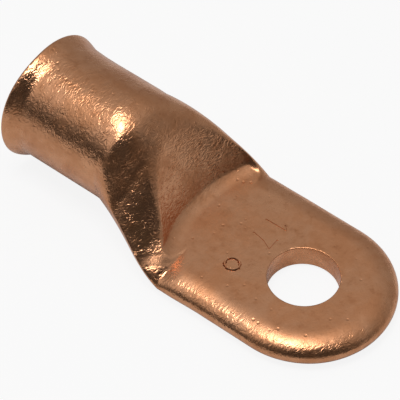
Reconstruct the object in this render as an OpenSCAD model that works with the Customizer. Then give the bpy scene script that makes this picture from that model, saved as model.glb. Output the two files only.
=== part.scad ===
// Tubular cable lug, one piece: a round barrel with a bell mouth, folded down by a forming die
// into a flat palm with a stud hole. Origin: centre of the stud hole on the palm's underside.
// +Z is up through the palm, +X runs towards the palm's tip, and the barrel's mouth faces -X.

/* [Barrel] */
// Outside diameter of the round barrel
barrel_d = 17.6; // [16:0.1:20]
// Thickness of the tube's wall
wall = 1.8; // [1.2:0.1:2.4]
// Height of the barrel's lowest line above the palm's underside
barrel_lift = 0.45; // [0:0.05:1]
// Distance from the stud hole's centre back to the barrel's mouth
mouth_reach = 47; // [44:0.5:60]
// How far the bell mouth spreads beyond the barrel, on the radius
flare = 0.9; // [0.3:0.1:1.5]
// Length of the bell mouth along the barrel
flare_len = 3.4; // [1:0.1:5]
// Rounding of the mouth's lip
lip_r = 0.4; // [0.1:0.05:0.8]

/* [Palm] */
// Width of the palm
palm_w = 25.8; // [24:0.1:28]
// Thickness of the palm, two walls pressed together
palm_t = 3.6; // [2.8:0.1:4.4]
// Distance from the stud hole's centre to the palm's round tip
tip_reach = 13.3; // [12:0.1:18]
// Diameter of the stud hole
stud_d = 10.2; // [6.4:0.1:13]
// Width of the rounded shoulder along the palm's upper edge
edge_w = 3.8; // [2:0.1:5]

/* [Fold] */
// Angle of the folded tube's crown above the palm
fold_angle = 51.5; // [45:0.5:60]
// Distance from the stud hole's centre back to the foot of the folded crown
fold_foot = 15.7; // [14:0.1:18]
// Bend radius where the barrel's top turns down into the fold
shoulder_r = 9.6; // [6:0.1:12]
// Distance from the stud hole's centre back to where the tube's sides start to spread
spread_from = 30.3; // [28:0.1:32]
// Distance from the stud hole's centre back to where the sides reach the palm's width
spread_to = 18.8; // [17:0.1:20]
// Roundness of the fold's flank on the -Y side, from 1 (a flat facet) to 2 (a round one)
flank_round = 1.15; // [1:0.05:2]

/* [Forming die] */
// Slope of the face that the die's nose presses
die_angle = 62; // [55:0.5:70]
// Distance from the stud hole's centre back to the crease at the foot of that face
die_foot = 20.3; // [19:0.1:22]
// Plan radius of the die's round nose
die_r = 24; // [16:0.5:60]
// Height of the crease above the palm
die_step = 0.7; // [0.3:0.05:1.2]
// Width of the hollow band between the crease and the flat of the palm
die_band = 2.2; // [1:0.1:4]
// Bend radius at the top of the pressed face
die_top_r = 7; // [3:0.1:9]
// Sideways shift of the die from the lug's middle
die_shift = 1; // [-2:0.1:2]
// Turn of the die about the vertical
die_turn = 2.6; // [-5:0.1:5]

/* [Hidden] */

copper = [0.72, 0.45, 0.30];

barrel_r = barrel_d / 2;
bore_r = barrel_r - wall;
axis_z = barrel_lift + barrel_r;

// How far the fold runs into the barrel and the palm, and how far it lies inside their skins
overlap = 0.8;
joint_step = 0.02;
fold_r = barrel_r - joint_step;
crown_z = axis_z + fold_r;
palm_r = palm_w / 2;
tip_x = tip_reach - palm_r;

// The blank's palm is a little thick, and the die coins it down to its thickness
coin = 0.1;
blank_t = palm_t + coin;

// Where the fold's slope would meet the barrel's top, and where the bend between them lies
slope_x = -fold_foot - (crown_z - blank_t) / tan(fold_angle);
bend_reach = shoulder_r * tan(fold_angle / 2);
fold_x = slope_x - bend_reach;
bend_end_x = fold_x + shoulder_r * sin(fold_angle);

// Half of the smallest flat on a section, which keeps its points apart
least_flat = 0.01;

// Stations of the fold, from the barrel to the palm, and points in a quarter of a section
palm_x = -fold_foot + 3.7;
stations = 26;
quarter = 12;

// Where the flank's flat facet fades in at the barrel and out at the palm
facet_in = [fold_x, fold_x + 5.5];
facet_out = [-spread_to - 1.2, palm_x];

// Share of the way from a to b, eased at both ends
function ease(x, a, b) = let (t = max(0, min(1, (x - a) / (b - a)))) t * t * (3 - 2 * t);

// The lower of two values, blended over a width k
function soft_min(a, b, k) =
    let (h = max(0, min(1, 0.5 + 0.5 * (b - a) / k)))
    b + (a - b) * h - k * h * (1 - h);

// Height of the folded tube's crown: barrel top, round shoulder, straight slope, palm
function crown(x) =
    x <= fold_x ? crown_z
    : x < bend_end_x ? crown_z - shoulder_r + sqrt(pow(shoulder_r, 2) - pow(x - fold_x, 2))
    : max(blank_t, blank_t - (x + fold_foot) * tan(fold_angle)) - joint_step;

// Height of the section's lowest line: it comes down from the barrel's lift to the palm
function sole(x) = joint_step + barrel_lift * (1 - ease(x, -spread_from, -spread_to + 1));

// Half the width: the sides spread in a straight line, then follow the palm
function half_width(x) =
    let (rise = barrel_r + (palm_r - barrel_r) * (x + spread_from) / (spread_from - spread_to))
    max(barrel_r, soft_min(rise, palm_r, 0.8)) - joint_step;

// Half the width of the flat on a section's top, from none on the barrel to the palm's flat
function top_flat(x) =
    let (pressed = 2 * fold_r - (crown(x) - sole(x)))
    let (g = ease(x, -fold_foot - 6.3, palm_x))
    max(least_flat, 0.52 * pressed * (1 - g) + (half_width(x) - edge_w) * g);

// Half the width of the flat on a section's underside: half of what the tube's girth leaves
function sole_flat(x) =
    let (pressed = 2 * fold_r - (crown(x) - sole(x)))
    max(least_flat, min(PI * pressed / 4, half_width(x) - blank_t / 2));

// How much of the facet a section has, from 0 to 1
function facet(x) = ease(x, facet_in[0], facet_in[1]) * (1 - ease(x, facet_out[0], facet_out[1]));

// Closed outline of [y, z] points, anticlockwise from the +Y side, with rounded flanks.
// w: half width. far, near, under: half widths of the flats on top at +Y and -Y, and below.
// low, high: bottom and top. power: 1 for an elliptic flank on the -Y side, 2 for a flat one.
function outline(w, far, near, under, low, high, power) =
    let (mid = (low + high) / 2, up = high - mid, step = 90 / quarter)
    [
        for (i = [0:quarter]) [far + (w - far) * cos(i * step), mid + up * sin(i * step)],
        for (i = [quarter:-1:1])
            [-near - (w - near) * pow(cos(i * step), power), mid + up * pow(sin(i * step), power)],
        for (i = [0:quarter]) [-under - (w - under) * cos(i * step), mid - up * sin(i * step)],
        for (i = [quarter:-1:1]) [under + (w - under) * cos(i * step), mid - up * sin(i * step)]
    ];

// Outline of the folded tube at x
function section(x) =
    let (w = half_width(x), flat = min(top_flat(x), w - 1), k = facet(x))
    outline(w, flat, max(least_flat, flat * (1 - k)), sole_flat(x), sole(x), crown(x),
        2 / (2 - (2 - flank_round) * k));

// Solid through rings of equal length, closed by a flat face at each end
module loft(rings) {
    n = len(rings[0]);
    last = len(rings) - 1;
    sides = [
        for (r = [0:last - 1], i = [0:n - 1])
            let (j = (i + 1) % n)
            for (tri = [[r * n + i, (r + 1) * n + j, r * n + j],
                        [r * n + i, (r + 1) * n + i, (r + 1) * n + j]])
                tri
    ];
    start = [for (i = [0:n - 1]) i];
    end = [for (i = [n - 1:-1:0]) last * n + i];
    polyhedron(points = [for (ring = rings, p = ring) p], faces = concat(sides, [start, end]));
}

// Profile turned about the barrel's axis: [distance from the axis, distance along it] points
module turned_on_barrel(profile) {
    translate([0, 0, axis_z])
        rotate([0, 90, 0])
            rotate_extrude($fn = 96)
                polygon(profile);
}

// Spread of the bell mouth at x beyond the straight tube
function spread(x) = flare * (1 + cos(180 * min(1, (x + mouth_reach) / flare_len))) / 2;

// Tube from the mouth to the fold, filled: the bore is cut later
module barrel() {
    lip_steps = 4;
    mouth_steps = 8;
    turned_on_barrel(concat(
        [[0, fold_x], [0, -mouth_reach]],
        [
            for (i = [0:lip_steps])
                let (x = -mouth_reach + lip_r * (1 - cos(90 * i / lip_steps)))
                [barrel_r + spread(x) - lip_r * (1 - sin(90 * i / lip_steps)), x]
        ],
        [
            for (i = [1:mouth_steps])
                let (x = -mouth_reach + lip_r + (flare_len - lip_r) * i / mouth_steps)
                [barrel_r + spread(x), x]
        ],
        [[barrel_r, fold_x - overlap / 2], [barrel_r - 5 * joint_step, fold_x]]
    ));
}

// Folded stretch between the barrel and the palm, before the die presses it
module fold() {
    reach = palm_x - fold_x;
    loft([
        for (x = concat(
            [fold_x - overlap],
            [for (s = [0:stations]) fold_x + reach * s / stations],
            [palm_x + overlap]
        ))
            [for (p = section(x)) [x, p[0], p[1]]]
    ]);
}

// Palm blank: one outline carried straight to the tip's centre and turned round it
module palm_blank() {
    flat = palm_r - edge_w;
    points = outline(palm_r, flat, flat, palm_r - blank_t / 2, 0, blank_t, 1);
    last = len(points) - 1;
    translate([palm_x, 0, 0])
        rotate([90, 0, 90])
            linear_extrude(height = tip_x - palm_x)
                polygon(points);
    translate([tip_x, 0, 0])
        rotate([0, 0, -90])
            rotate_extrude(angle = 180, $fn = 72)
                polygon(concat(
                    [[0, 0]],
                    [for (i = [last - quarter + 1:last]) points[i]],
                    [for (i = [0:quarter]) points[i]],
                    [[0, blank_t]]
                ));
}

// Space taken by the forming die: palm flat, hollow band, crease, sloping nose, round top
module die() {
    band_steps = 6;
    top_steps = 8;
    roof_z = crown_z + 0.05;
    nose_x = die_r + (roof_z - palm_t - die_step) / tan(die_angle);
    bend = die_top_r * tan(die_angle / 2);
    translate([-die_foot, die_shift, 0])
        rotate([0, 0, die_turn])
            translate([die_r, 0, 0])
                rotate_extrude($fn = 180)
                    polygon(concat(
                        [[0, palm_t]],
                        [
                            for (i = [0:band_steps])
                                let (u = i / band_steps)
                                [die_r - die_band * (1 - u), palm_t + die_step * u * u]
                        ],
                        [
                            for (i = [0:top_steps])
                                let (a = die_angle * (1 - i / top_steps))
                                [nose_x + bend - die_top_r * sin(a), roof_z - die_top_r * (1 - cos(a))]
                        ],
                        [[nose_x + bend + 1, roof_z], [nose_x + bend + 1, crown_z + 5], [0, crown_z + 5]]
                    ));
}

// Bell mouth, straight bore and the closing end where the walls fold together
module cable_bore() {
    mouth_steps = 8;
    over = 1;
    bore_x = bend_end_x - 4.4;
    bore_step = 0.25;
    turned_on_barrel(concat(
        [[0, -mouth_reach - over], [bore_r + flare + lip_r, -mouth_reach - over]],
        [[bore_r + flare + lip_r, -mouth_reach]],
        [
            for (i = [0:mouth_steps])
                let (x = -mouth_reach + lip_r + (flare_len - lip_r) * i / mouth_steps)
                [bore_r + spread(x), x]
        ],
        [[bore_r, bore_x], [bore_r - 2 * bore_step, bore_x + 2 * bore_step], [0, bore_x + 2 * bore_step]]
    ));
    hull() {
        translate([bore_x, 0, axis_z])
            rotate([0, 90, 0])
                cylinder(r = bore_r - bore_step, h = 0.1, $fn = 32);
        translate([-die_foot - 1, 0, palm_t / 2])
            cube([0.1, bore_r * 1.6, 0.2], center = true);
    }
}

module stud_hole() {
    translate([0, 0, -1])
        cylinder(d = stud_d, h = palm_t + 2, $fn = 96);
}

module lug() {
    color(copper)
        difference() {
            union() {
                barrel();
                fold();
                palm_blank();
            }
            die();
            cable_bore();
            stud_hole();
        }
}

lug();
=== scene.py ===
"""Visual model of a tubular copper cable lug.

The lug is one piece of drawn copper tube. One end is left round and belled to take a cable. The other is
pressed flat by a forming die and punched with a stud hole. This script builds that skin as a lofted mesh,
gives it a worked copper finish, and sets the floor, the light and the camera.

Lengths in the shape classes are in millimetres, as in the part's drawing, and become metres in the mesh.
"""

from __future__ import annotations

import logging
import math
from dataclasses import dataclass
from enum import Enum
from typing import Iterable, Sequence

import bmesh
import bpy
from mathutils import Matrix, Vector, noise

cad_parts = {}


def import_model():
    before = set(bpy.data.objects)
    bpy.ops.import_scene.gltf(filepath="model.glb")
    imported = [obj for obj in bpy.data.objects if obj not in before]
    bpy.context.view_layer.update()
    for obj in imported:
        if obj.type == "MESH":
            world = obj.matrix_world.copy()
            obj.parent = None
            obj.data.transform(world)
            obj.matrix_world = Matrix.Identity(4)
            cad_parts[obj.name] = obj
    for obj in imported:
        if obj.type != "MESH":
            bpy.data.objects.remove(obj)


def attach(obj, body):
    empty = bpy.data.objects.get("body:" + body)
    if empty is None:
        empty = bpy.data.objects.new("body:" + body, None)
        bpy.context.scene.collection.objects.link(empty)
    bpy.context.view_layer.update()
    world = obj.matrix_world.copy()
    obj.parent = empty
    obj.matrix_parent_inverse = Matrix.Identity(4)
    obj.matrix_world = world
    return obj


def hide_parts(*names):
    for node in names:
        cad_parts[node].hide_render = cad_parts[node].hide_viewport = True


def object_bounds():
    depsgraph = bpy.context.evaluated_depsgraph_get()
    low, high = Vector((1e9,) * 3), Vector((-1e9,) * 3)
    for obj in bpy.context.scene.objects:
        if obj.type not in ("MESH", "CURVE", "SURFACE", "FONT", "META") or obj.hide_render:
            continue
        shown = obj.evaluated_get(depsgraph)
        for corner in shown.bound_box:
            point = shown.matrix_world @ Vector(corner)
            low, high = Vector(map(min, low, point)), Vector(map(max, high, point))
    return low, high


logging.basicConfig(level=logging.INFO, format="%(name)s: %(message)s")
log = logging.getLogger("cable_lug")

MM = 0.001
SHARP_ANGLE = 38.0
SENSOR_WIDTH = 36.0
# Share of plain white that mirrored and transmitted rays see over the real light.
MIRRORED_WHITE = 0.05

Point = tuple[float, float, float]
Span = list[tuple[float, float]]
Ring = list[Point]
Stroke = tuple[tuple[float, float], ...]
Colour = tuple[float, float, float, float]


class Body(Enum):
    """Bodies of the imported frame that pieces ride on."""

    ROOT = "root"


class Node(Enum):
    """CAD nodes that pieces of the scene stand for."""

    LUG = "lug"


class Slot(Enum):
    """Material slots of the record."""

    COPPER = "copper"


# ----------------------------------------------------------------------------------------------------------
# Small mathematics shared by the shape classes
# ----------------------------------------------------------------------------------------------------------


def ease(value: float, start: float, end: float) -> float:
    """Share of the way from start to end, eased at both ends.

    Args:
        value: Where along the way.
        start: Value at which the share is 0.
        end: Value at which the share is 1.

    Returns:
        The share, from 0 to 1.
    """
    t = max(0.0, min(1.0, (value - start) / (end - start)))
    return t * t * (3.0 - 2.0 * t)


def soft_min(a: float, b: float, width: float) -> float:
    """The lower of two values, blended where they are within a width of each other.

    Args:
        a: First value.
        b: Second value.
        width: Width of the blend.

    Returns:
        The blended minimum.
    """
    h = max(0.0, min(1.0, 0.5 + 0.5 * (b - a) / width))
    return b + (a - b) * h - width * h * (1.0 - h)


def spread_evenly(path: Sequence[tuple[float, float]], count: int) -> Span:
    """Points at equal distances along a path, without its last point.

    Args:
        path: Points of the path.
        count: How many points to return.

    Returns:
        The points, the first of which is the path's first.
    """
    steps = [math.hypot(b[0] - a[0], b[1] - a[1]) for a, b in zip(path[:-1], path[1:])]
    whole = sum(steps)
    points: Span = []
    index, passed = 0, 0.0
    for i in range(count):
        wanted = whole * i / count
        while index < len(steps) - 1 and passed + steps[index] < wanted:
            passed += steps[index]
            index += 1
        share = (wanted - passed) / steps[index] if steps[index] > 0.0 else 0.0
        a, b = path[index], path[index + 1]
        points.append((a[0] + (b[0] - a[0]) * share, a[1] + (b[1] - a[1]) * share))
    return points


# ----------------------------------------------------------------------------------------------------------
# Shape of the lug
# ----------------------------------------------------------------------------------------------------------


@dataclass(frozen=True)
class BellSizes:
    """Bell of the mouth, which spreads unevenly round the tube, in millimetres and degrees."""

    spread: float = 0.897
    near_extra: float = 0.2
    length: float = 2.8
    tail: float = 9.0
    skew: float = 0.45
    near_angle: float = 187.0
    far_angle: float = 40.0
    far_reach: tuple[float, float] = (0.1, 0.95)
    far_short: float = 0.45
    far_tail: float = 1.1


@dataclass(frozen=True)
class BarrelSizes:
    """Round end of the lug, in millimetres."""

    radius: float = 8.8
    wall: float = 1.8
    axis_height: float = 9.25
    mouth_x: float = -46.5
    lip_round: float = 0.4
    bore_end_x: float = -28.6
    slit_x: float = -21.4
    slit_half_width: float = 5.6
    slit_half_height: float = 0.1


@dataclass(frozen=True)
class PalmSizes:
    """Flat end of the lug, in millimetres."""

    half_width: float = 12.7
    thickness: float = 3.6
    tip_x: float = 13.28
    hole_radius: float = 5.1
    hole_rim: float = 0.12
    edge_width: float = 3.8
    straight_from: float = -11.5


@dataclass(frozen=True)
class FoldSizes:
    """Stretch where the tube folds down from the barrel to the palm, in millimetres and degrees."""

    slope: float = 51.4
    foot_x: float = -15.75
    shoulder_blend: float = 5.8
    spread_from: float = -30.3
    spread_to: float = -18.0
    spread_slope: float = 0.335
    spread_blend: float = 0.8
    flat_share: float = 0.52
    flattened: tuple[float, float] = (-22.0, -12.0)
    least_flank: float = 1.8
    edge_level: float = 0.42
    edge_lowered: tuple[float, float] = (-24.0, -15.0)
    facet_in: tuple[float, float] = (-29.2, -25.0)
    facet_out: tuple[float, float] = (-20.0, -13.0)
    facet_power: float = 1.1


@dataclass(frozen=True)
class DieSizes:
    """Print of the forming die on the fold, in millimetres and degrees."""

    foot_x: float = -20.3
    radius: float = 24.0
    slope: float = 62.0
    step: float = 0.7
    band: float = 2.2
    shift: float = 1.0
    turn: float = 2.6
    half_width: float = 9.9
    beside_rise: float = 0.9
    crease_blend: float = 0.22
    ridge_blend: float = 2.5
    ridge_heights: tuple[float, float] = (3.0, 13.0)


@dataclass(frozen=True)
class HandWork:
    """Slight unevenness that hand-fed forming leaves on the flanks, in millimetres."""

    drift_scale: float = 0.16
    drift_start: float = 3.1
    ripple_scale: float = 0.45
    ripple_start: float = 7.0
    # Steady part, drift and ripple of how far the palm's flanks lie inside the plain loft.
    inward: tuple[float, float, float] = (0.03, 0.03, 0.02)
    flank_from: float = 9.0
    flank_width: float = 3.6
    fold_reach: float = 12.0
    bulge: float = 0.19
    bulge_in: tuple[float, float] = (-20.5, -15.0)
    bulge_out: tuple[float, float] = (-14.5, -8.0)
    pressed_from: float = 0.6


@dataclass(frozen=True)
class Fold:
    """Cross-sections of the flattened tube along the lug."""

    barrel: BarrelSizes
    palm: PalmSizes
    sizes: FoldSizes

    ARC_STEPS = 90

    def crown(self, x: float) -> float:
        """Height of the section's top.

        Args:
            x: Place along the lug.

        Returns:
            The height, which never falls under the palm's top.
        """
        top = self.barrel.axis_height + self.barrel.radius
        slope = self.palm.thickness + (self.sizes.foot_x - x) * math.tan(math.radians(self.sizes.slope))
        return max(self.palm.thickness, soft_min(top, slope, self.sizes.shoulder_blend))

    def sole(self, x: float) -> float:
        """Height of the section's lowest line at x."""
        lift = self.barrel.axis_height - self.barrel.radius
        return lift * (1.0 - ease(x, self.sizes.spread_from, self.sizes.spread_to))

    def half_width(self, x: float) -> float:
        """Half the width of the section at x."""
        rise = self.barrel.radius + self.sizes.spread_slope * (x - self.sizes.spread_from)
        return max(self.barrel.radius, soft_min(rise, self.palm.half_width, self.sizes.spread_blend))

    def facet(self, x: float) -> float:
        """How much of the flat facet the near flank has at x, from 0 to 1."""
        return ease(x, *self.sizes.facet_in) * (1.0 - ease(x, *self.sizes.facet_out))

    def _far_flat(self, x: float, pressed: float) -> float:
        """Half the width of the section's flat top on the far side.

        Args:
            x: Place along the lug.
            pressed: How far the tube has been pressed down.

        Returns:
            The half width of the flat.
        """
        width = self.half_width(x)
        flatness = ease(x, *self.sizes.flattened)
        flat = self.sizes.flat_share * pressed * (1.0 - flatness)
        flat += (width - self.palm.edge_width) * flatness
        return max(0.0, min(flat, width - self.sizes.least_flank))

    def section(self, x: float, count: int) -> Span:
        """Closed outline of the section at x.

        Args:
            x: Place along the lug.
            count: Points in each of the outline's four spans.

        Returns:
            (y, z) points, evenly spaced in each span, anticlockwise from the middle of the +Y flank.
        """
        sizes = self.sizes
        width, low, high = self.half_width(x), self.sole(x), self.crown(x)
        pressed = 2.0 * self.barrel.radius - (high - low)
        far = self._far_flat(x, pressed)
        near = far * (1.0 - self.facet(x))
        power = 2.0 / (2.0 + (sizes.facet_power - 2.0) * self.facet(x))
        under = width - max(sizes.least_flank, min(width, width - math.pi * pressed / 4.0))
        level = 0.5 + (sizes.edge_level - 0.5) * ease(x, *sizes.edge_lowered)
        middle = low + (high - low) * level
        up, down = high - middle, middle - low
        angles = [math.pi / 2.0 * i / self.ARC_STEPS for i in range(self.ARC_STEPS + 1)]

        def flank(flat: float, rise: float, bend: float) -> Span:
            """Span from a flank's middle to the section's middle line, on the +Y side.

            Args:
                flat: Half the width of the flat that the flank runs into.
                rise: Height of the flat over the flank's middle, negative below it.
                bend: Power of the flank's curve, 1 for an ellipse.

            Returns:
                The span's points.
            """
            arc = [
                (flat + (width - flat) * max(0.0, math.cos(a)) ** bend, middle + rise * math.sin(a) ** bend)
                for a in angles
            ]
            return [*arc, (0.0, middle + rise)]

        def mirrored(points: Span) -> Span:
            """The same span on the -Y side, run the other way."""
            return [(-y, z) for y, z in reversed(points)]

        spans = (
            flank(far, up, 1.0),
            mirrored(flank(near, up, power)),
            list(reversed(mirrored(flank(under, -down, 1.0)))),
            list(reversed(flank(under, -down, 1.0))),
        )
        return [point for span in spans for point in spread_evenly(span, count)]


@dataclass(frozen=True)
class FormingDie:
    """Surface that the forming die presses into the fold."""

    palm: PalmSizes
    sizes: DieSizes

    def press(self, point: Vector) -> float:
        """Height of a skin point once the die has pressed it.

        Args:
            point: The point before pressing, in millimetres.

        Returns:
            The point's height after pressing, in millimetres.
        """
        turn = math.radians(self.sizes.turn)
        run, across = point.x - self.sizes.foot_x, point.y - self.sizes.shift
        local_x = run * math.cos(turn) + across * math.sin(turn)
        local_y = across * math.cos(turn) - run * math.sin(turn)
        past = math.hypot(local_x - self.sizes.radius, local_y) - self.sizes.radius
        table = self.palm.thickness
        beside = self.sizes.beside_rise * max(0.0, abs(local_y) - self.sizes.half_width)
        if past <= -self.sizes.band:
            return min(point.z, table)
        elif past <= 0.0:
            share = (past + self.sizes.band) / self.sizes.band
            height = table + self.sizes.step * share * share + beside * share
        else:
            height = table + self.sizes.step + past * math.tan(math.radians(self.sizes.slope)) + beside
        blend = self.sizes.crease_blend
        blend += (self.sizes.ridge_blend - blend) * ease(height - table, *self.sizes.ridge_heights)
        return soft_min(point.z, height, blend)


class LugSkin:
    """Closed skin of the lug as rings along its length."""

    QUARTER = 64
    CLOSING_RINGS = 12
    BORE_RINGS = 16
    BELL_RINGS = 30
    LIP_RINGS = 7
    BARREL_RINGS = 8
    FOLD_RINGS = 140
    PALM_RINGS = 40
    TIP_RINGS = 48
    FOLD_LEAD = 5.0
    INNER_CROWDING = 2.0
    OUTER_CROWDING = 1.6

    def __init__(self) -> None:
        """Sets the sizes of the whole skin."""
        self.barrel = BarrelSizes()
        self.bell = BellSizes()
        self.palm = PalmSizes()
        self.hand = HandWork()
        self.fold = Fold(self.barrel, self.palm, FoldSizes())
        self.die = FormingDie(self.palm, DieSizes())

    @property
    def fold_start(self) -> float:
        """Place along the barrel where the folded sections begin."""
        return self.fold.sizes.spread_from - self.FOLD_LEAD

    def _circle(self, x: float, radius: float) -> Ring:
        """Ring round the barrel's axis.

        Args:
            x: Place along the barrel.
            radius: The ring's radius.

        Returns:
            The ring's points.
        """
        count = 4 * self.QUARTER
        steps = (2.0 * math.pi * i / count for i in range(count))
        return [(x, radius * math.cos(a), self.barrel.axis_height + radius * math.sin(a)) for a in steps]

    def _belled(self, x: float, radius: float) -> Ring:
        """Ring of the bell mouth, which isn't quite even all round.

        Args:
            x: Place along the barrel, before the mouth's skew.
            radius: Radius without the spread of the bell.

        Returns:
            The ring's points.
        """
        bell = self.bell
        along = x - self.barrel.mouth_x
        short = (1.0 + math.cos(math.pi * min(1.0, along / bell.length))) / 2.0
        tail = 1.0 - ease(along, -bell.tail, bell.tail)
        settle = 1.0 - ease(along, 0.0, bell.tail)
        drawn = bell.far_short * short + bell.far_tail * tail * settle
        ring = []
        count = 4 * self.QUARTER
        for i in range(count):
            angle = 2.0 * math.pi * i / count
            far = ease(math.cos(angle - math.radians(bell.far_angle)), *bell.far_reach)
            near = ease(math.cos(angle - math.radians(bell.near_angle)), 0.0, 1.0)
            reach = radius + bell.spread * (short * (1.0 - far) + drawn * far) + bell.near_extra * short * near
            height = self.barrel.axis_height + reach * math.sin(angle)
            ring.append((x - bell.skew * near * settle, reach * math.cos(angle), height))
        return ring

    def closing_end(self) -> list[Ring]:
        """Inner end of the bore.

        Returns:
            The rings from the slit where the walls meet out to the round bore.
        """
        sizes = self.barrel
        bore = sizes.radius - sizes.wall
        rings = []
        for i in range(self.CLOSING_RINGS + 1):
            share = i / self.CLOSING_RINGS
            x = sizes.slit_x + (sizes.bore_end_x - sizes.slit_x) * share
            ring = []
            for _, y, z in self._circle(x, bore):
                flat_y = y / bore * sizes.slit_half_width
                flat_z = self.palm.thickness / 2.0 + (z - sizes.axis_height) / bore * sizes.slit_half_height
                ring.append((x, flat_y + (y - flat_y) * share, flat_z + (z - flat_z) * share))
            rings.append(ring)
        return rings

    def bore(self) -> list[Ring]:
        """Inside of the barrel.

        Returns:
            The rings from the straight bore out to the bell mouth's lip.
        """
        sizes = self.barrel
        bore, start = sizes.radius - sizes.wall, sizes.mouth_x + self.bell.tail
        rings = []
        for i in range(1, self.BORE_RINGS):
            x = sizes.bore_end_x + (start - sizes.bore_end_x) * i / self.BORE_RINGS
            rings.append(self._circle(x, bore))
        for i in range(self.BELL_RINGS + 1):
            gone = 1.0 - (1.0 - i / self.BELL_RINGS) ** self.INNER_CROWDING
            rings.append(self._belled(start - (self.bell.tail - sizes.lip_round) * gone, bore))
        return rings

    def lip(self) -> list[Ring]:
        """Round edge of the mouth.

        Returns:
            The rings from the inside to the outside.
        """
        sizes = self.barrel
        turn, edge_x = sizes.lip_round, sizes.mouth_x + sizes.lip_round
        inner, outer = sizes.radius - sizes.wall, sizes.radius
        angles = [math.pi / 2.0 * i / self.LIP_RINGS for i in range(self.LIP_RINGS + 1)]
        rings = []
        for angle in angles[1:]:
            rings.append(self._belled(edge_x - turn * math.sin(angle), inner + turn * (1.0 - math.cos(angle))))
        for angle in angles:
            rings.append(self._belled(edge_x - turn * math.cos(angle), outer - turn * (1.0 - math.sin(angle))))
        return rings

    def barrel_outside(self) -> list[Ring]:
        """Outside of the bell mouth and of the round barrel.

        Returns:
            The rings from the lip to where the fold begins.
        """
        sizes = self.barrel
        edge_x, end = sizes.mouth_x + sizes.lip_round, sizes.mouth_x + self.bell.tail
        rings = []
        for i in range(1, self.BELL_RINGS + 1):
            gone = (i / self.BELL_RINGS) ** self.OUTER_CROWDING
            rings.append(self._belled(edge_x + (end - edge_x) * gone, sizes.radius))
        for i in range(1, self.BARREL_RINGS):
            x = end + (self.fold_start - end) * i / self.BARREL_RINGS
            rings.append(self._circle(x, sizes.radius))
        return rings

    def folded(self) -> list[Ring]:
        """Stretch from the round barrel to the palm, and the straight palm.

        Returns:
            The rings from the fold's start to the centre of the palm's tip.
        """
        start, end = self.fold_start, self.palm.straight_from
        rings = []
        for i in range(self.FOLD_RINGS + 1):
            x = start + (end - start) * i / self.FOLD_RINGS
            rings.append([(x, y, z) for y, z in self.fold.section(x, self.QUARTER)])
        centre = self.palm.tip_x - self.palm.half_width
        straight = self.fold.section(end, self.QUARTER)
        for i in range(1, self.PALM_RINGS + 1):
            x = end + (centre - end) * i / self.PALM_RINGS
            rings.append([(x, y, z) for y, z in straight])
        return rings

    def tip(self) -> list[Ring]:
        """Round end of the palm: the palm's section turned about the tip's centre.

        Returns:
            The rings, the last of which lies folded flat on the middle line.
        """
        centre = self.palm.tip_x - self.palm.half_width
        section = self.fold.section(self.palm.straight_from, self.QUARTER)
        rings = []
        for i in range(1, self.TIP_RINGS + 1):
            angle = math.pi / 2.0 * i / self.TIP_RINGS
            across = math.cos(angle) if i < self.TIP_RINGS else 0.0
            rings.append([(centre + abs(y) * math.sin(angle), y * across, z) for y, z in section])
        return rings

    def _worked(self, point: Vector) -> Vector:
        """A skin point after the die's press and the slight unevenness of hand-fed forming.

        Args:
            point: The point of the plain loft, in millimetres.

        Returns:
            The worked point.
        """
        hand, (x, y, z) = self.hand, point
        if x > self.fold.sizes.spread_from and z > hand.pressed_from * self.palm.thickness:
            z = self.die.press(point)
        slow, quick = hand.drift_scale, hand.ripple_scale
        drift = noise.noise(Vector((x * slow, y * slow, z * slow + hand.drift_start)))
        ripple = noise.noise(Vector((x * quick + hand.ripple_start, y * quick, z * quick)))
        inward = hand.inward[0] + hand.inward[1] * drift + hand.inward[2] * ripple
        on_palm = x > self.fold.sizes.foot_x
        reach = max(0.0, abs(y) - hand.flank_from) / hand.flank_width if on_palm else 0.0
        y -= math.copysign(min(1.0, reach) * inward, y)
        if y < 0.0:
            bulge = ease(x, *hand.bulge_in) * (1.0 - ease(x, *hand.bulge_out))
            y -= hand.bulge * bulge * min(1.0, reach if on_palm else abs(y) / hand.fold_reach)
        return Vector((x, y, z))

    def build(self) -> bpy.types.Mesh:
        """Skin as one closed mesh.

        Returns:
            The mesh, in metres.
        """
        rings = self.closing_end() + self.bore() + self.lip()
        inside = len(rings)
        rings += self.barrel_outside() + self.folded() + self.tip()
        shape = bmesh.new()
        start = bmesh.ops.create_circle(shape, cap_ends=True, segments=4 * self.QUARTER, radius=MM)
        loop = list(start["verts"])
        for index, ring in enumerate(rings):
            points = [Vector(p) for p in ring]
            places = [self._worked(p) if index >= inside else p for p in points]
            if index > 0:
                loop = self._draw_out(shape, loop)
            for vert, place in zip(loop, places):
                vert.co = place * MM
        bmesh.ops.remove_doubles(shape, verts=shape.verts, dist=1e-6)
        bmesh.ops.dissolve_degenerate(shape, edges=shape.edges, dist=1e-7)
        bmesh.ops.recalc_face_normals(shape, faces=shape.faces)
        mesh = bpy.data.meshes.new("lug_skin")
        shape.to_mesh(mesh)
        shape.free()
        return mesh

    @staticmethod
    def _draw_out(shape: bmesh.types.BMesh, loop: list[bmesh.types.BMVert]) -> list[bmesh.types.BMVert]:
        """Extrudes a closed loop of edges once.

        Args:
            shape: The bmesh that holds the loop.
            loop: The loop's vertices in order.

        Returns:
            The new loop's vertices in the same order.
        """
        edges = [shape.edges.get((vert, loop[(i + 1) % len(loop)])) for i, vert in enumerate(loop)]
        made = bmesh.ops.extrude_edge_only(shape, edges=edges)["geom"]
        fresh = {item for item in made if isinstance(item, bmesh.types.BMVert)}
        drawn = []
        for vert in loop:
            drawn.append(next(e.other_vert(vert) for e in vert.link_edges if e.other_vert(vert) in fresh))
        return drawn


# ----------------------------------------------------------------------------------------------------------
# Punched hole and stamped numbers
# ----------------------------------------------------------------------------------------------------------


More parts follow.
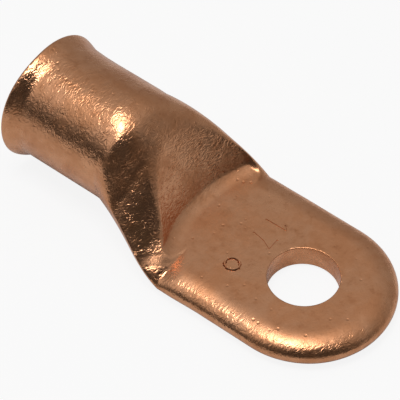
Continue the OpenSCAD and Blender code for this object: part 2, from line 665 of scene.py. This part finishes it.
def ring_stroke(middle: float, angles: Iterable[float]) -> Stroke:
    """Closed ring of a number, in shares of its width and height.

    Args:
        middle: Height of the ring's middle, which is also half the ring's height.
        angles: Angles of its points.

    Returns:
        The stroke's points.
    """
    return tuple((0.5 + 0.5 * math.sin(a), middle + middle * math.cos(a)) for a in angles)


@dataclass(frozen=True)
class StampSizes:
    """Row of plain numbers struck into the palm, in millimetres and degrees."""

    numbers: str = "1706"
    start: tuple[float, float] = (-10.5, 5.9)
    turn: float = 2.0
    height: float = 3.6
    width: float = 2.1
    pitch: float = 3.1
    stroke: float = 0.15
    depth: float = 0.1
    stroke_lift: float = 0.004
    number_lift: float = 0.003


class Punch:
    """Tools that cut the finished skin: the stud hole's punch and the number stamps."""

    STROKES: dict[str, tuple[Stroke, ...]] = {
        "0": (ring_stroke(0.5, (2.0 * math.pi * i / 20.0 for i in range(21))),),
        "1": (((0.15, 0.8), (0.5, 1.0), (0.5, 0.0)),),
        "6": (
            ring_stroke(0.3, (math.pi * (0.25 - i / 10.0) for i in range(21))),
            ((0.02, 0.36), (0.08, 0.62), (0.3, 0.88), (0.62, 1.0)),
        ),
        "7": (((0.0, 1.0), (1.0, 1.0), (0.62, 0.55), (0.42, 0.0)),),
    }
    CLEARANCE = 0.02
    OVERSHOOT = 1.0
    RIM_STEPS = 6
    TURN_STEPS = 128

    def __init__(self, palm: PalmSizes, stamp: StampSizes) -> None:
        """Keeps the sizes of the palm and of its stamp."""
        self.palm = palm
        self.stamp = stamp

    def numbers(self) -> bpy.types.Object:
        """Thin rods along the strokes of the numbers, sunk in the palm's face by the stamp's depth.

        Returns:
            The rods as one object.
        """
        sizes = self.stamp
        curve = bpy.data.curves.new("number_stamp", "CURVE")
        curve.dimensions = "3D"
        curve.bevel_depth = sizes.stroke * MM
        curve.bevel_resolution = 1
        curve.use_fill_caps = True
        turn = math.radians(sizes.turn)
        height = self.palm.thickness + sizes.stroke - sizes.depth
        for place, digit in enumerate(sizes.numbers):
            for number, stroke in enumerate(self.STROKES[digit]):
                lift = height + sizes.stroke_lift * number + sizes.number_lift * place
                spline = curve.splines.new("POLY")
                spline.points.add(len(stroke) - 1)
                for point, (across, up) in zip(spline.points, stroke):
                    run = -(place * sizes.pitch + across * sizes.width)
                    rise = up * sizes.height
                    x = sizes.start[0] + rise * math.cos(turn) - run * math.sin(turn)
                    y = sizes.start[1] + rise * math.sin(turn) + run * math.cos(turn)
                    point.co = (x * MM, y * MM, lift * MM, 1.0)
        rods = bpy.data.objects.new("number_stamp", curve)
        bpy.context.scene.collection.objects.link(rods)
        mesh = bpy.data.meshes.new_from_object(rods)
        bpy.data.objects.remove(rods)
        piece = bpy.data.objects.new("number_stamp", mesh)
        bpy.context.scene.collection.objects.link(piece)
        return piece

    def stud_hole(self) -> bpy.types.Object:
        """Turned cutter of the stud hole, wider at both ends so that it leaves rounded rims.

        Returns:
            The cutter's object.
        """
        rim, radius, top = self.palm.hole_rim, self.palm.hole_radius, self.palm.thickness
        wide = radius + rim + self.CLEARANCE
        angles = [math.pi / 2.0 * i / self.RIM_STEPS for i in range(self.RIM_STEPS + 1)]
        arc = [(radius + rim * (1.0 - math.sin(a)), rim * (1.0 - math.cos(a))) for a in angles]
        profile = [(wide, -self.OVERSHOOT), (wide, -self.CLEARANCE), *arc]
        profile += [(r, top - z) for r, z in reversed(arc)]
        profile += [(wide, top + self.CLEARANCE), (wide, top + self.OVERSHOOT)]
        shape = bmesh.new()
        verts = [shape.verts.new((r * MM, 0.0, z * MM)) for r, z in profile]
        edges = [shape.edges.new(pair) for pair in zip(verts[:-1], verts[1:])]
        bmesh.ops.spin(
            shape,
            geom=verts + edges,
            cent=(0, 0, 0),
            axis=(0, 0, 1),
            angle=2.0 * math.pi,
            steps=self.TURN_STEPS,
            use_merge=True,
        )
        bmesh.ops.holes_fill(shape, edges=[e for e in shape.edges if e.is_boundary], sides=0)
        bmesh.ops.recalc_face_normals(shape, faces=shape.faces)
        return object_from("stud_hole_punch", shape)


def object_from(name: str, shape: bmesh.types.BMesh) -> bpy.types.Object:
    """Object at the origin made from a bmesh, which is freed.

    Args:
        name: Name of the object and of its mesh.
        shape: The geometry, in metres.

    Returns:
        The linked object.
    """
    mesh = bpy.data.meshes.new(name)
    shape.to_mesh(mesh)
    shape.free()
    piece = bpy.data.objects.new(name, mesh)
    bpy.context.scene.collection.objects.link(piece)
    return piece


class CableLug:
    """The whole visual piece."""

    def __init__(self) -> None:
        """Makes the skin and the tools that cut it."""
        self.skin = LugSkin()
        self.punch = Punch(self.skin.palm, StampSizes())

    @staticmethod
    def _cut(piece: bpy.types.Object, cutter: bpy.types.Object) -> None:
        """Takes the cutter out of the piece and removes the cutter.

        Args:
            piece: The object that is cut.
            cutter: The closed tool.
        """
        modifier = piece.modifiers.new("cut", "BOOLEAN")
        modifier.object = cutter
        modifier.operation = "DIFFERENCE"
        modifier.solver = "EXACT"
        graph = bpy.context.evaluated_depsgraph_get()
        made = bpy.data.meshes.new_from_object(piece.evaluated_get(graph), depsgraph=graph)
        piece.modifiers.clear()
        old = piece.data
        piece.data = made
        bpy.data.meshes.remove(old)
        tool = cutter.data
        bpy.data.objects.remove(cutter)
        bpy.data.meshes.remove(tool)

    def build(self, finish: bpy.types.Material) -> bpy.types.Object:
        """Makes the lug and links it to the frame.

        Args:
            finish: The copper material.

        Returns:
            The lug's object.
        """
        piece = bpy.data.objects.new("copper_lug", self.skin.build())
        bpy.context.scene.collection.objects.link(piece)
        self._cut(piece, self.punch.stud_hole())
        self._cut(piece, self.punch.numbers())
        piece.data.name = "copper_lug"
        piece.data.materials.clear()
        piece.data.materials.append(finish)
        piece.data.shade_smooth()
        piece.data.set_sharp_from_angle(angle=math.radians(SHARP_ANGLE))
        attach(piece, Body.ROOT.value)
        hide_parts(Node.LUG.value)
        log.info("%s: %d faces", piece.name, len(piece.data.polygons))
        return piece


# ----------------------------------------------------------------------------------------------------------
# Materials
# ----------------------------------------------------------------------------------------------------------


Value = float | tuple[float, ...] | bpy.types.NodeSocket
Inputs = dict[str | int, Value]


class Wiring:
    """Short hand for adding and linking the nodes of one tree."""

    def __init__(self, tree: bpy.types.NodeTree) -> None:
        """Keeps the tree that the nodes go into."""
        self.tree = tree

    def put(self, socket: bpy.types.NodeSocket, value: Value) -> None:
        """Links a socket to another one, or sets its value.

        Args:
            socket: The input.
            value: An output to link to it, or its own value.
        """
        if isinstance(value, bpy.types.NodeSocket):
            self.tree.links.new(value, socket)
        else:
            socket.default_value = value

    def node(self, kind: str, inputs: Inputs | None = None, **settings: object) -> bpy.types.Node:
        """Adds a node.

        Args:
            kind: The node's type, without its ShaderNode prefix.
            inputs: Values or links of its inputs, by name or place.
            **settings: Its other properties.

        Returns:
            The node.
        """
        node = self.tree.nodes.new("ShaderNode" + kind)
        for name, value in settings.items():
            setattr(node, name, value)
        for key, value in (inputs or {}).items():
            self.put(node.inputs[key], value)
        return node

    def math(self, operation: str, a: Value, b: Value = 0.0, clamp: bool = False) -> bpy.types.NodeSocket:
        """Result of a Math node."""
        return self.node("Math", {0: a, 1: b}, operation=operation, use_clamp=clamp).outputs[0]

    def vector(self, operation: str, inputs: Inputs, output: str = "Vector") -> bpy.types.NodeSocket:
        """Result of a Vector Math node."""
        return self.node("VectorMath", inputs, operation=operation).outputs[output]

    def spread(
        self, value: Value, low: float, high: float, to_low: float = 0.0, to_high: float = 1.0
    ) -> bpy.types.NodeSocket:
        """Result of a smooth Map Range node."""
        inputs = {"Value": value, "From Min": low, "From Max": high, "To Min": to_low, "To Max": to_high}
        return self.node("MapRange", inputs, interpolation_type="SMOOTHSTEP").outputs[0]

    def mix(self, share: Value, a: Value, b: Value, blend: str = "MIX") -> bpy.types.NodeSocket:
        """Colour result of a Mix node."""
        return self.node("Mix", {0: share, 6: a, 7: b}, data_type="RGBA", blend_type=blend).outputs[2]

    def noise(
        self, place: Value, scale: Value, detail: float = 2.0, rough: float = 0.5, warp: float = 0.0
    ) -> bpy.types.NodeSocket:
        """Value of a Noise Texture node."""
        inputs = {"Vector": place, "Scale": scale, "Detail": detail, "Roughness": rough, "Distortion": warp}
        return self.node("TexNoise", inputs).outputs[0]

    def pale_view(self, camera_share: float) -> bpy.types.NodeSocket:
        """How much of a surface's look is plain white.

        Args:
            camera_share: The share that the camera sees.

        Returns:
            That share for camera rays, and a small one for mirrored and transmitted rays.
        """
        rays = self.node("LightPath").outputs
        mirrored = self.math("ADD", rays["Is Glossy Ray"], rays["Is Transmission Ray"], clamp=True)
        seen = self.math("MULTIPLY", rays["Is Camera Ray"], camera_share)
        return self.math("ADD", seen, self.math("MULTIPLY", mirrored, MIRRORED_WHITE), clamp=True)


class EffectGroup:
    """Node group with named sockets, built once."""

    def __init__(self, name: str, inputs: dict[str, float | None], outputs: Sequence[str]) -> None:
        """Makes the empty group.

        Args:
            name: The group's name.
            inputs: Its inputs with their values, None for a vector.
            outputs: Names of its outputs.
        """
        self.tree = bpy.data.node_groups.new(name, "ShaderNodeTree")
        for label, value in inputs.items():
            kind = "NodeSocketVector" if value is None else "NodeSocketFloat"
            socket = self.tree.interface.new_socket(name=label, in_out="INPUT", socket_type=kind)
            if value is not None:
                socket.default_value = value
        for label in outputs:
            self.tree.interface.new_socket(name=label, in_out="OUTPUT", socket_type="NodeSocketFloat")
        self.wiring = Wiring(self.tree)
        self.given = self.tree.nodes.new("NodeGroupInput").outputs
        self.result = self.tree.nodes.new("NodeGroupOutput").inputs

    def place(self, wiring: Wiring, inputs: Inputs) -> bpy.types.Node:
        """Places the group in a material's tree.

        Args:
            wiring: The material's tree.
            inputs: Values or links of the group's inputs.

        Returns:
            The group's node.
        """
        node = wiring.tree.nodes.new("ShaderNodeGroup")
        node.node_tree = self.tree
        for label, value in inputs.items():
            wiring.put(node.inputs[label], value)
        return node


@dataclass(frozen=True)
class CrinklePattern:
    """Layout of the forming wrinkles, with scales per metre and lengths in metres."""

    warp_scale: float = 700.0
    warp_reach: float = 0.0011
    turns: tuple[float, float, float] = (0.5, 2.1, 3.9)
    tilt_share: float = 0.7
    squeeze: Point = (1.0, 0.36, 1.0)
    detail: float = 1.5
    stroke_width: float = 0.12
    crossing_share: float = 0.6
    coarse_scale: float = 420.0


def crinkle_group(pattern: CrinklePattern) -> EffectGroup:
    """Short random wrinkles that drawn copper gets when it is bent and pressed.

    Args:
        pattern: The wrinkles' layout.

    Returns:
        The group, which puts out the fine height and the coarse one.
    """
    group = EffectGroup("forming_crinkle", {"Vector": None, "Scale": 1500.0}, ("Height", "Coarse"))
    wiring, given = group.wiring, group.given
    waves = {"Vector": given["Vector"], "Scale": pattern.warp_scale, "Detail": 1.0}
    warp = wiring.node("TexNoise", waves).outputs["Color"]
    bent = wiring.vector("SUBTRACT", {0: warp, 1: (0.5, 0.5, 0.5)})
    small = wiring.vector("SCALE", {0: bent, "Scale": pattern.warp_reach})
    place = wiring.vector("ADD", {0: given["Vector"], 1: small})
    strokes = []
    for turn in pattern.turns:
        rotation = (turn, turn * pattern.tilt_share, turn)
        laid = {"Vector": place, "Rotation": rotation, "Scale": pattern.squeeze}
        turned = wiring.node("Mapping", laid).outputs[0]
        ridge = wiring.noise(turned, given["Scale"], pattern.detail)
        folded = wiring.math("ABSOLUTE", wiring.math("SUBTRACT", ridge, 0.5))
        strokes.append(wiring.spread(folded, 0.0, pattern.stroke_width, 1.0, 0.0))
    crossing = wiring.math("MULTIPLY", strokes[2], pattern.crossing_share)
    height = wiring.math("ADD", wiring.math("MAXIMUM", strokes[0], strokes[1]), crossing)
    wiring.put(group.result["Height"], height)
    coarse = wiring.noise(given["Vector"], pattern.coarse_scale, 2.0, 0.55, 0.6)
    wiring.put(group.result["Coarse"], coarse)
    return group


@dataclass(frozen=True)
class PitPattern:
    """Layout of the pits and specks, with scales per metre."""

    bowl: tuple[float, float] = (0.08, 0.32)
    speck_scale: float = 5200.0
    speck_range: tuple[float, float] = (0.68, 0.76)


def pit_group(pattern: PitPattern) -> EffectGroup:
    """Sparse pits and specks.

    Args:
        pattern: Their layout.

    Returns:
        The group, which puts out the pits' depth and the specks' mask.
    """
    group = EffectGroup("fine_pits", {"Vector": None, "Scale": 1100.0, "Share": 0.16}, ("Depth", "Speck"))
    wiring, given = group.wiring, group.given
    cells = wiring.node("TexVoronoi", {"Vector": given["Vector"], "Scale": given["Scale"], "Randomness": 1.0})
    chosen = wiring.node("SeparateColor", {0: cells.outputs["Color"]}).outputs[0]
    picked = wiring.math("LESS_THAN", chosen, given["Share"])
    bowl = wiring.spread(cells.outputs["Distance"], *pattern.bowl, 1.0, 0.0)
    wiring.put(group.result["Depth"], wiring.math("MULTIPLY", picked, bowl))
    dots = wiring.noise(given["Vector"], pattern.speck_scale, 1.0)
    wiring.put(group.result["Speck"], wiring.spread(dots, *pattern.speck_range))
    return group


@dataclass(frozen=True)
class CopperFinish:
    """Look of drawn and pressed copper, with scales per metre and lengths in metres."""

    bright: Colour = (0.74, 0.37, 0.20, 1.0)
    brown: Colour = (0.62, 0.28, 0.135, 1.0)
    deep: Colour = (0.42, 0.16, 0.07, 1.0)
    roughness: tuple[float, float] = (0.20, 0.34)
    palm_roughness: float = 0.06
    crinkle_scale: float = 1500.0
    crinkle_depth: float = 0.000016
    crinkle_on_palm: float = 0.25
    coarse_depth: float = 0.00005
    coarse_on_palm: float = 0.5
    pit_scale: float = 1100.0
    pit_share: float = 0.16
    pit_depth: float = 0.00003
    cloud_scale: float = 170.0
    mottle_scale: float = 620.0
    cloud_share: float = 0.65
    tarnish_range: tuple[float, float] = (0.36, 0.64)
    stain_range: tuple[float, float] = (0.56, 0.74)
    stain_strength: float = 0.35
    pit_tint: float = 0.6
    speck_strength: float = 0.5
    palm_from_x: tuple[float, float] = (-0.0205, -0.0185)
    palm_below_z: tuple[float, float] = (0.0046, 0.0040)
    palm_above_z: tuple[float, float] = (0.0030, 0.0035)


class CopperMaterial:
    """Procedural copper with the wrinkles, pits and tarnish of a pressed lug."""

    def __init__(self, finish: CopperFinish) -> None:
        """Makes the effect groups that the finish uses."""
        self.finish = finish
        self.crinkle = crinkle_group(CrinklePattern())
        self.pits = pit_group(PitPattern())

    def _palm_mask(self, wiring: Wiring, place: Value) -> Value:
        """Mask of the palm's flat top.

        Args:
            wiring: The material's tree.
            place: Object coordinates.

        Returns:
            The mask, 1 on the flat.
        """
        finish = self.finish
        x, _, z = wiring.node("SeparateXYZ", {0: place}).outputs
        past_fold, below = wiring.spread(x, *finish.palm_from_x), wiring.spread(z, *finish.palm_below_z)
        palm = wiring.math("MULTIPLY", past_fold, below)
        return wiring.math("MULTIPLY", palm, wiring.spread(z, *finish.palm_above_z))

    def _height(self, wiring: Wiring, crinkle: bpy.types.Node, pits: bpy.types.Node, flat: Value) -> Value:
        """Relief of the wrinkles, the coarse waviness and the pits.

        Args:
            wiring: The material's tree.
            crinkle: The wrinkles' group.
            pits: The pits' group.
            flat: Mask of the palm's flat top, where the die has smoothed the wrinkles.

        Returns:
            The height in metres.
        """
        finish = self.finish
        fine = wiring.math("MULTIPLY", crinkle.outputs["Height"], finish.crinkle_depth)
        fine = wiring.math("MULTIPLY", fine, wiring.spread(flat, 0.0, 1.0, 1.0, finish.crinkle_on_palm))
        coarse = wiring.math("MULTIPLY", crinkle.outputs["Coarse"], finish.coarse_depth)
        coarse = wiring.math("MULTIPLY", coarse, wiring.spread(flat, 0.0, 1.0, 1.0, finish.coarse_on_palm))
        sunk = wiring.math("MULTIPLY", pits.outputs["Depth"], -finish.pit_depth)
        return wiring.math("ADD", wiring.math("ADD", fine, coarse), sunk)

    def build(self) -> bpy.types.Material:
        """Node material of the lug.

        Returns:
            The material.
        """
        finish = self.finish
        material = bpy.data.materials.new("worked_copper")
        material.use_nodes = True
        wiring = Wiring(material.node_tree)
        shader = material.node_tree.nodes["Principled BSDF"]
        place = wiring.node("TexCoord").outputs["Object"]
        crinkle = self.crinkle.place(wiring, {"Vector": place, "Scale": finish.crinkle_scale})
        pits = self.pits.place(wiring, {"Vector": place, "Scale": finish.pit_scale, "Share": finish.pit_share})
        flat = self._palm_mask(wiring, place)

        cloud = wiring.noise(place, finish.cloud_scale, 4.0, 0.6, 0.4)
        mottle = wiring.noise(place, finish.mottle_scale, 4.0, 0.65, 0.2)
        broad = wiring.math("MULTIPLY", cloud, finish.cloud_share)
        tarnish = wiring.math("ADD", broad, wiring.math("MULTIPLY", mottle, 1.0 - finish.cloud_share))
        colour = wiring.mix(wiring.spread(tarnish, *finish.tarnish_range), finish.bright, finish.brown)
        stains = wiring.math("MULTIPLY", wiring.spread(mottle, *finish.stain_range), finish.stain_strength)
        colour = wiring.mix(stains, colour, finish.deep)
        tinted = wiring.math("MULTIPLY", pits.outputs["Depth"], finish.pit_tint)
        specks = wiring.math("MAXIMUM", tinted, pits.outputs["Speck"])
        colour = wiring.mix(wiring.math("MULTIPLY", specks, finish.speck_strength), colour, finish.deep)
        wiring.put(shader.inputs["Base Color"], colour)
        shader.inputs["Metallic"].default_value = 1.0

        rough = wiring.spread(cloud, 0.3, 0.7, *finish.roughness)
        rough = wiring.math("ADD", rough, wiring.math("MULTIPLY", flat, finish.palm_roughness))
        wiring.put(shader.inputs["Roughness"], rough)
        height = self._height(wiring, crinkle, pits, flat)
        bump = wiring.node("Bump", {"Strength": 1.0, "Distance": 1.0, "Height": height})
        wiring.put(shader.inputs["Normal"], bump.outputs[0])
        return material


# ----------------------------------------------------------------------------------------------------------
# Stage, light and camera
# ----------------------------------------------------------------------------------------------------------


@dataclass(frozen=True)
class CameraPlace:
    """Where the camera stands and how much it takes in, in degrees and millimetres."""

    azimuth: float = 39.59
    elevation: float = 49.39
    roll: float = -0.58
    distance: float = 318.5
    view_width: float = 55.104
    centre: tuple[float, float] = (14.284, -10.547)
    target_height: float = 3.6


def add_camera(place: CameraPlace) -> bpy.types.Object:
    """Makes the scene's camera.

    Args:
        place: Where it stands, and how wide its view is at the lug.

    Returns:
        The camera's object.
    """
    azimuth, elevation, roll = (math.radians(a) for a in (place.azimuth, place.elevation, place.roll))
    right = Vector((math.cos(azimuth), math.sin(azimuth), 0.0))
    away = Vector((math.sin(azimuth), -math.cos(azimuth), 0.0))
    back = math.cos(elevation) * away + math.sin(elevation) * Vector((0.0, 0.0, 1.0))
    up = back.cross(right)
    side = math.cos(roll) * right + math.sin(roll) * up
    over = math.cos(roll) * up - math.sin(roll) * right
    target = Vector((0.0, 0.0, place.target_height))
    spot = target - place.centre[0] * side - place.centre[1] * over + place.distance * back
    data = bpy.data.cameras.new("camera")
    data.sensor_width = SENSOR_WIDTH
    data.lens = SENSOR_WIDTH * place.distance / place.view_width
    data.clip_end = 10.0
    camera = bpy.data.objects.new("camera", data)
    bpy.context.scene.collection.objects.link(camera)
    matrix = Matrix((side, over, back)).transposed().to_4x4()
    matrix.translation = spot * MM
    camera.matrix_world = matrix
    bpy.context.scene.camera = camera
    return camera


@dataclass(frozen=True)
class TableLook:
    """White table under the lug, in metres."""

    half_side: float = 0.16
    centre_x: float = -0.015
    colour: Colour = (0.86, 0.86, 0.86, 1.0)
    roughness: float = 0.9
    camera_white: float = 0.88


def add_floor(look: TableLook, height: float) -> bpy.types.Object:
    """White table under the lug, which shows pale to the camera and keeps the shadow.

    Args:
        look: The table's size and finish.
        height: The table's height in metres.

    Returns:
        The table's object.
    """
    shape = bmesh.new()
    bmesh.ops.create_grid(shape, x_segments=1, y_segments=1, size=look.half_side)
    bmesh.ops.translate(shape, verts=shape.verts, vec=(look.centre_x, 0.0, height))
    floor = object_from("floor", shape)
    material = bpy.data.materials.new("white_table")
    material.use_nodes = True
    wiring = Wiring(material.node_tree)
    shader = material.node_tree.nodes["Principled BSDF"]
    shader.inputs["Base Color"].default_value = look.colour
    shader.inputs["Roughness"].default_value = look.roughness
    shader.inputs["Specular IOR Level"].default_value = 0.0
    white = wiring.node("Emission", {"Color": (1.0, 1.0, 1.0, 1.0), "Strength": 1.0}).outputs[0]
    share = wiring.pale_view(look.camera_white)
    blend = wiring.node("MixShader", {0: share, 1: shader.outputs[0], 2: white}).outputs[0]
    wiring.put(material.node_tree.nodes["Material Output"].inputs["Surface"], blend)
    floor.data.materials.append(material)
    return floor


@dataclass(frozen=True)
class RoomLight:
    """Levels of the room that the copper mirrors, by height and side, with angles in degrees.

    A height is half of one more than the direction's upward part, so 0.5 is the horizon and 1.0 overhead.
    """

    low: float = 0.0
    near_horizon: float = 0.015
    near_horizon_height: float = 0.60
    rise: float = 0.24
    rise_height: float = 0.72
    top: float = 0.52
    far_side: float = 0.31
    far_direction: Point = (-0.2, 0.98, 0.0)
    far_range: tuple[float, float] = (-0.1, 0.5)
    dark_direction: Point = (0.567, -0.707, 0.423)
    dark_angles: tuple[float, float] = (42.0, 54.0)


def grey(level: float) -> Colour:
    """Colour of a plain grey level."""
    return (level, level, level, 1.0)


def add_world(room: RoomLight) -> None:
    """Room round the table: dark on the near side, mid on the far side and bright overhead.

    Args:
        room: The room's levels, and the directions and angles of its far side and its dark part.
    """
    world = bpy.data.worlds.new("studio")
    bpy.context.scene.world = world
    world.use_nodes = True
    wiring = Wiring(world.node_tree)
    background = world.node_tree.nodes["Background"]
    direction = wiring.node("TexCoord").outputs["Generated"]
    up = wiring.node("SeparateXYZ", {0: direction}).outputs[2]
    ramp = wiring.node("ValToRGB", {0: wiring.math("MULTIPLY", wiring.math("ADD", up, 1.0), 0.5)})
    stops = ramp.color_ramp
    stops.elements[0].position = 0.5
    stops.elements[0].color = grey(room.low)
    stops.elements[1].position = 1.0
    stops.elements[1].color = grey(room.top)
    stops.elements.new(room.near_horizon_height).color = grey(room.near_horizon)
    stops.elements.new(room.rise_height).color = grey(room.rise)
    side = wiring.vector("DOT_PRODUCT", {0: direction, 1: room.far_direction}, "Value")
    start, end = room.far_range
    far = wiring.node("MapRange", {"Value": side, "From Min": start, "From Max": end, "To Max": room.far_side})
    level = wiring.mix(1.0, ramp.outputs[0], far.outputs[0], "LIGHTEN")
    facing = wiring.vector("DOT_PRODUCT", {0: direction, 1: room.dark_direction}, "Value")
    inner, outer = (math.cos(math.radians(angle)) for angle in room.dark_angles)
    level = wiring.mix(wiring.spread(facing, outer, inner), level, grey(room.low))
    wiring.put(background.inputs[0], wiring.mix(wiring.pale_view(1.0), level, grey(1.0)))


@dataclass(frozen=True)
class LampPlace:
    """Square area lamp, in metres and watts."""

    name: str
    spot: Point
    aim: Point
    size: float
    energy: float


LAMPS = (
    LampPlace("softbox", (-0.03, -0.07, 0.44), (-0.015, 0.0, 0.0), 0.17, 0.75),
    LampPlace("left_fill", (-0.28, -0.28, 0.5), (-0.02, 0.0, 0.0), 0.45, 0.22),
)


def add_lamp(place: LampPlace) -> bpy.types.Object:
    """Hangs a lamp.

    Args:
        place: Its spot, aim, size and power.

    Returns:
        The lamp's object.
    """
    data = bpy.data.lights.new(place.name, "AREA")
    data.energy = place.energy
    data.size = place.size
    lamp = bpy.data.objects.new(place.name, data)
    bpy.context.scene.collection.objects.link(lamp)
    lamp.location = place.spot
    lamp.rotation_euler = (Vector(place.spot) - Vector(place.aim)).to_track_quat("Z", "Y").to_euler()
    return lamp


def main() -> None:
    """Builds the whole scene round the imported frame."""
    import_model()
    cad_low, cad_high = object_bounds()
    CableLug().build(CopperMaterial(CopperFinish()).build())
    add_floor(TableLook(), cad_low.z)
    add_world(RoomLight())
    for place in LAMPS:
        add_lamp(place)
    add_camera(CameraPlace())
    bpy.context.scene.view_settings.view_transform = "Standard"


if __name__ == "__main__":
    main()
